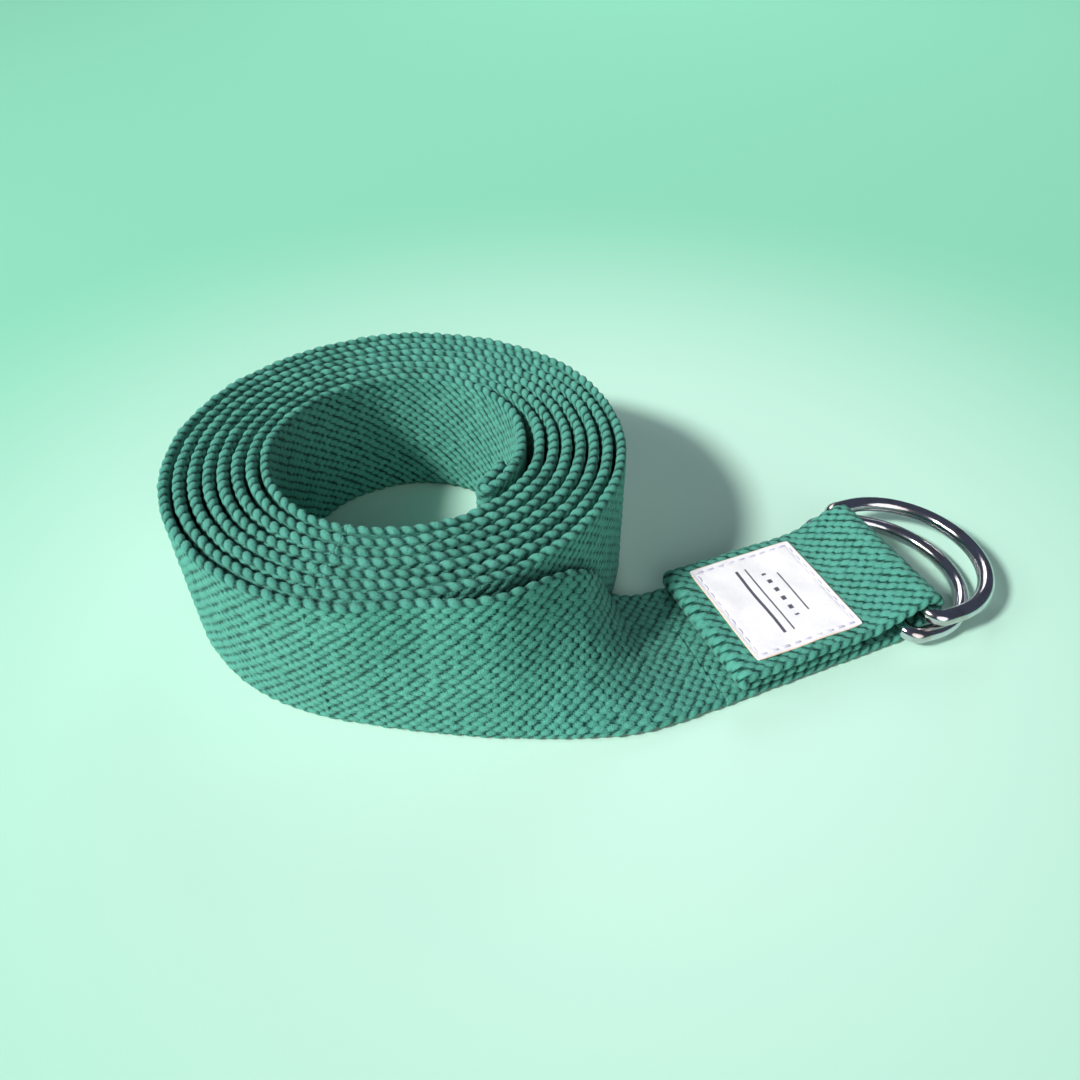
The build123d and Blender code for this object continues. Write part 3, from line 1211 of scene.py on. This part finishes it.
@dataclass
class SewnLabel:
    """The label and its stitching, with the same stitches showing on the underside."""

    place: FlatEnd
    cloth: bpy.types.Material
    thread: bpy.types.Material
    under_thread: bpy.types.Material
    x: float = 9.0
    y: float = 3.3
    length: float = 30.0
    width: float = 31.5
    face: float = 8.72
    thickness: float = 0.34
    inset: float = 1.4
    pitch: float = 3.1
    stitch: StitchShape = field(default_factory=StitchShape)

    def surface(self, across: np.ndarray, along: np.ndarray) -> np.ndarray:
        """Height of the label's middle: slow waves, and a dip along the stitching."""
        to_edge = np.minimum(
            np.minimum(along, self.length - along), np.minimum(across, self.width - across)
        )
        waves = 0.16 * np.sin(0.42 * along + 0.3) * np.sin(0.36 * across + 1.1)
        pucker = 0.05 * np.cos(2 * math.pi * (along + across) / self.pitch)
        seam = np.exp(-(((to_edge - self.inset) / 0.55) ** 2))
        return self.face + waves + (pucker - 0.16) * seam + 0.10 * np.exp(-to_edge / 0.5)

    def mesh(self) -> Shell:
        """A closed sheet: an upper grid and a lower one, joined round the outline.

        The corners are rounded by drawing the grid's outline in, and the outline is made
        ragged by a few tenths of a millimetre.

        Returns:
            The sheet, with its place, its distance to the outline and the printed rules.
        """
        count = 150
        share = np.linspace(0, 1, count)
        along, across = np.meshgrid(share * self.length, share * self.width, indexing="ij")
        centre_a, centre_w = self.length / 2, self.width / 2
        corner = np.abs(along / centre_a - 1) ** 14 * np.abs(across / centre_w - 1) ** 14
        ragged = 0.12 * (scatter(np.round(along * 3), np.round(across * 3)) - 0.5)
        edge = np.abs(share - 0.5) > 0.499
        ring = (edge[:, None] | edge[None, :]) * ragged
        pull = 1 - 0.022 * corner + ring / self.length
        a = centre_a + (along - centre_a) * pull
        w = centre_w + (across - centre_w) * pull
        height = self.surface(w, a)
        to_edge = np.minimum(np.minimum(a, self.length - a), np.minimum(w, self.width - w))
        rules = self.printed(a, w)
        layers = []
        for sign in (1, -1):
            offset = sign * self.thickness / 2 * np.sqrt(np.clip(to_edge / 0.3 + 0.12, 0, 1))
            layers.append(np.stack([self.x + a, self.y + w, height + offset], axis=-1))
        points = np.concatenate([layer.reshape(-1, 3) for layer in layers])
        index = np.arange(count * count).reshape(count, count)
        cells = [index[:-1, :-1], index[1:, :-1], index[1:, 1:], index[:-1, 1:]]
        top = np.stack(cells, axis=-1).reshape(-1, 4)
        rim = np.concatenate([index[:-1, 0], index[-1, :-1], index[:0:-1, -1], index[0, :0:-1]])
        after = np.roll(rim, -1)
        under = count * count
        wall = np.stack([rim, rim + under, after + under, after], axis=-1)
        faces = top.tolist() + (top[:, ::-1] + under).tolist() + wall.tolist()
        place = np.stack([a, w, 0 * a], axis=-1).reshape(-1, 3)
        values = {
            "label_place": np.concatenate([place, place]),
            "border": np.tile(to_edge.ravel(), 2),
            "printed": np.concatenate([rules.ravel(), 0 * rules.ravel()]),
        }
        return Shell(self.place.place(points), faces, values)

    def printed(self, along: np.ndarray, across: np.ndarray) -> np.ndarray:
        """1 where plain rules and a row of small squares are printed, and 0 elsewhere."""
        mark = np.zeros_like(along)
        for centre, half_width, start, end in (
            (11.0, 0.42, 5.0, 26.5),
            (13.6, 0.22, 5.0, 26.5),
            (20.6, 0.22, 9.0, 22.5),
        ):
            near = np.clip(1 - np.abs(along - centre) / half_width * 0.5, 0, 1)
            mark = np.maximum(mark, near * (across > start) * (across < end))
        square = np.maximum(np.abs(along - 17.1), np.abs(np.mod(across - 1.0, 3.0) - 1.5))
        dots = np.clip(1 - square / 0.62 * 0.5, 0, 1) * (across > 8.5) * (across < 23.5)
        return np.maximum(mark, dots)

    def seam(self, face: float, up: float) -> Shell:
        """Stitches round the outline on a face of the stack, on its upper or lower side."""
        feet, ways = [], []
        spans = ((self.length, self.width, 0), (self.width, self.length, 1))
        for reach, other, turn in spans:
            half, offset = reach / 2 - self.inset, other / 2 - self.inset
            count = int(2 * (half - self.stitch.length / 2) / self.pitch) + 1
            places = (np.arange(count) - (count - 1) / 2) * self.pitch
            for side in (-1, 1):
                pair = [places, side * offset + 0 * places]
                feet.append(np.stack(pair[::-1] if turn else pair, axis=1))
                ways.append(np.tile([[0.0, 1.0] if turn else [1.0, 0.0]], (count, 1)))
        flat = np.concatenate(feet) + [self.x + self.length / 2, self.y + self.width / 2]
        way = np.concatenate(ways)
        level = np.full((len(flat), 1), face)
        feet3 = self.place.place(np.concatenate([flat, level], axis=1))
        along3 = self.place.turn(np.concatenate([way, 0 * level], axis=1))
        up3 = self.place.turn(np.tile([[0.0, 0.0, up]], (len(flat), 1)))
        return self.stitch.shells(feet3, along3, up3)

    def build(self) -> None:
        """Builds the label, its stitches, and the stitches underneath."""
        made = self.mesh().piece("label_cloth_patch", self.cloth, Slot.LABEL_CLOTH)
        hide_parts("sewn_label")
        self.width * MM
        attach(made, Body.FLAT_END.value)
        upper = self.seam(self.face + self.thickness / 2 - 0.10, 1.0)
        made = upper.piece("label_stitches", self.thread, Slot.LABEL_THREAD)
        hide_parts("label_stitching")
        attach(made, Body.FLAT_END.value)
        lower = self.seam(0.10, -1.0)
        made = lower.piece("underside_stitches", self.under_thread, Slot.THREAD)
        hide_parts("underside_stitching")
        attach(made, Body.FLAT_END.value)
        LOG.info("label with %d points of stitching", len(made.data.vertices) * 2)


@dataclass
class HemStitches:
    """One row of stitches up the hem's turned-back flap."""

    roll: RollCourse
    hem: HemCourse
    thread: bpy.types.Material
    along_flap: float = 3.2
    pitch: float = 3.1
    webbing_width: float = 38.0
    face_depth: float = 1.3
    stitch: StitchShape = field(default_factory=StitchShape)

    def build(self) -> None:
        """Builds the row on the flap's inner face."""
        course = self.hem.course(self.roll)
        place = int(np.searchsorted(course.run, self.along_flap))
        out = course.outward[place]
        count = int((self.webbing_width - self.pitch) / self.pitch)
        heights = (np.arange(count) - (count - 1) / 2) * self.pitch
        foot = course.centre[place] + out * self.face_depth
        feet = foot + heights[:, None] * UP
        along = np.broadcast_to(UP, feet.shape)
        shell = self.stitch.shells(feet, along, np.broadcast_to(out, feet.shape))
        made = shell.piece("hem_stitches", self.thread, Slot.THREAD)
        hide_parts("free_end_hem_stitching")
        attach(made, Body.ROLL.value)
        LOG.info("%s: %d stitches", made.name, count)


# ---- studio ----


@dataclass
class Studio:
    """A pale floor with a painted pool of light, a soft key from the left, a dim surround, and the camera.
    """

    floor_reach: float = 4.0
    # the floor's two colours paint a pool of light round the strap, with painted shade further out
    floor_lit_centre: Colour = (0.58, 0.86, 0.74)
    floor_shaded_far: Colour = (0.24, 0.64, 0.45)
    key_azimuth: float = 187.0
    key_elevation: float = 38.0
    key_strength: float = 3.75
    key_angle: float = 8.0
    front_azimuth: float = 262.0
    front_elevation: float = 26.0
    front_strength: float = 0.95
    front_angle: float = 50.0
    surround: Colour = (0.060, 0.070, 0.100)
    camera_at: tuple[float, float, float] = (-76.1, -163.2, 160.3)
    camera_azimuth: float = -22.77
    camera_pitch: float = 41.29
    camera_roll: float = 0.48
    lens: float = 28.73

    def floor(self) -> None:
        """A wide floor with a painted pool of light: paler near the strap, darker further out."""
        size = self.floor_reach
        mesh = bpy.data.meshes.new("floor")
        corners = [(-size, -size, 0), (size, -size, 0), (size, size, 0), (-size, size, 0)]
        mesh.from_pydata(corners, [], [(0, 1, 2, 3)])
        paint = Paint("pale_floor")
        place = paint.place()
        offset = paint.node("ShaderNodeVectorMath", {"operation": "ADD"}, {0: place, 1: (0.0, 0.02, 0.0)})
        away = paint.node("ShaderNodeVectorMath", {"operation": "LENGTH"}, {0: offset}, "Value")
        speck = paint.noise(place, 900.0, 2.0)
        # painted pool of light: pale near the strap, fading to painted shade further out
        share = paint.span(away + 0.004 * (speck - 0.5), 0.03, 0.30, 0.0, 1.0)
        colour = paint.mix(share, self.floor_lit_centre, self.floor_shaded_far)
        mesh.materials.append(paint.finish(Base_Color=colour, Roughness=0.9, Specular_IOR_Level=0.1))
        made = bpy.data.objects.new("floor", mesh)
        bpy.context.scene.collection.objects.link(made)

    def lights(self) -> None:
        """The key and a weak front fill as broad suns, and two dim panels that the rings reflect."""
        key = (self.key_azimuth, self.key_elevation, self.key_strength, self.key_angle)
        front = (self.front_azimuth, self.front_elevation, self.front_strength, self.front_angle)
        for name, (azimuth, elevation, strength, spread) in (("key", key), ("front_fill", front)):
            light = bpy.data.lights.new(name, "SUN")
            light.energy = strength
            light.angle = math.radians(spread)
            light.color = (1.0, 0.985, 0.95)
            made = bpy.data.objects.new(name, light)
            made.rotation_euler = (0.0, math.radians(90 - elevation), math.radians(azimuth))
            bpy.context.scene.collection.objects.link(made)
        for name, spot, size, power in (
            ("left_panel", (-0.7, 0.1, 0.5), 0.35, 2.0),
            ("back_panel", (0.5, 0.9, 0.7), 0.5, 2.4),
        ):
            light = bpy.data.lights.new(name, "AREA")
            light.size = size
            light.energy = power
            light.diffuse_factor = 0.15
            panel = bpy.data.objects.new(name, light)
            panel.location = spot
            length = math.dist(spot, (0, 0, 0))
            tilt = math.acos(spot[2] / length)
            panel.rotation_euler = (0.0, tilt, math.atan2(spot[1], spot[0]))
            bpy.context.scene.collection.objects.link(panel)

    def world(self) -> None:
        """An even surround that fills the shadows."""
        world = bpy.data.worlds.new("surround")
        world.use_nodes = True
        background = world.node_tree.nodes["Background"]
        background.inputs["Color"].default_value = (*self.surround, 1.0)
        background.inputs["Strength"].default_value = 1.0
        bpy.context.scene.world = world
        bpy.context.scene.view_settings.view_transform = "Standard"

    def camera(self) -> None:
        """The camera, looking down at the strap from the front left."""
        data = bpy.data.cameras.new("camera")
        data.lens = self.lens
        data.sensor_width = 36.0
        data.clip_start = 0.01
        made = bpy.data.objects.new("camera", data)
        made.location = [value * MM for value in self.camera_at]
        made.rotation_mode = "XYZ"
        turn = math.radians(self.camera_azimuth)
        pitch = math.radians(90 - self.camera_pitch)
        roll = math.radians(-self.camera_roll)
        aim = Matrix.Rotation(turn, 3, "Z") @ Matrix.Rotation(pitch, 3, "X")
        made.rotation_euler = (aim @ Matrix.Rotation(roll, 3, "Z")).to_euler("XYZ")
        bpy.context.scene.collection.objects.link(made)
        bpy.context.scene.camera = made

    def build(self) -> None:
        """Sets the stage."""
        self.floor()
        self.lights()
        self.world()
        self.camera()


# ---- whole ----


# name, node, body, then the bar's place along and above the flat end, and the ring's droop
RINGS = (
    ("upper_ring_wire", "upper_d_ring", Body.UPPER_RING, 55.9, 8.6188, 4.0),
    ("lower_ring_wire", "lower_d_ring", Body.LOWER_RING, 49.9, 5.1, 7.0),
)
LOOP_RELIEF = 0.38
LOOP_RIM_RELIEF = 0.55


def main() -> None:
    """Builds the studio and each sub-assembly."""
    logging.basicConfig(level=logging.INFO, format="%(name)s %(message)s")
    Studio().build()
    cotton = CottonFinish().material()
    thread = ThreadFinish("strap_thread", (0.10, 0.42, 0.30), (0.05, 0.24, 0.17)).material()
    label_thread = ThreadFinish("label_thread", (0.76, 0.74, 0.86), (0.56, 0.52, 0.72)).material()
    webbing = Webbing(Weave(), cotton)
    place = FlatEnd()
    wound = WoundWebbing(webbing)
    tail_end = wound.build()
    HemStitches(wound.roll, wound.hem, thread).build()
    pressed = Webbing(Weave(relief=LOOP_RELIEF, rim_relief=LOOP_RIM_RELIEF), cotton)
    RingLoop(pressed, place).build(tail_end)
    SewnLabel(place, LabelFinish().material(), label_thread, thread).build()
    metal = RingFinish().material()
    for name, node, body, bar_x, bar_z, droop in RINGS:
        DRing(name, node, body, bar_x, bar_z, droop, place, metal).build()


if __name__ == "__main__":
    main()
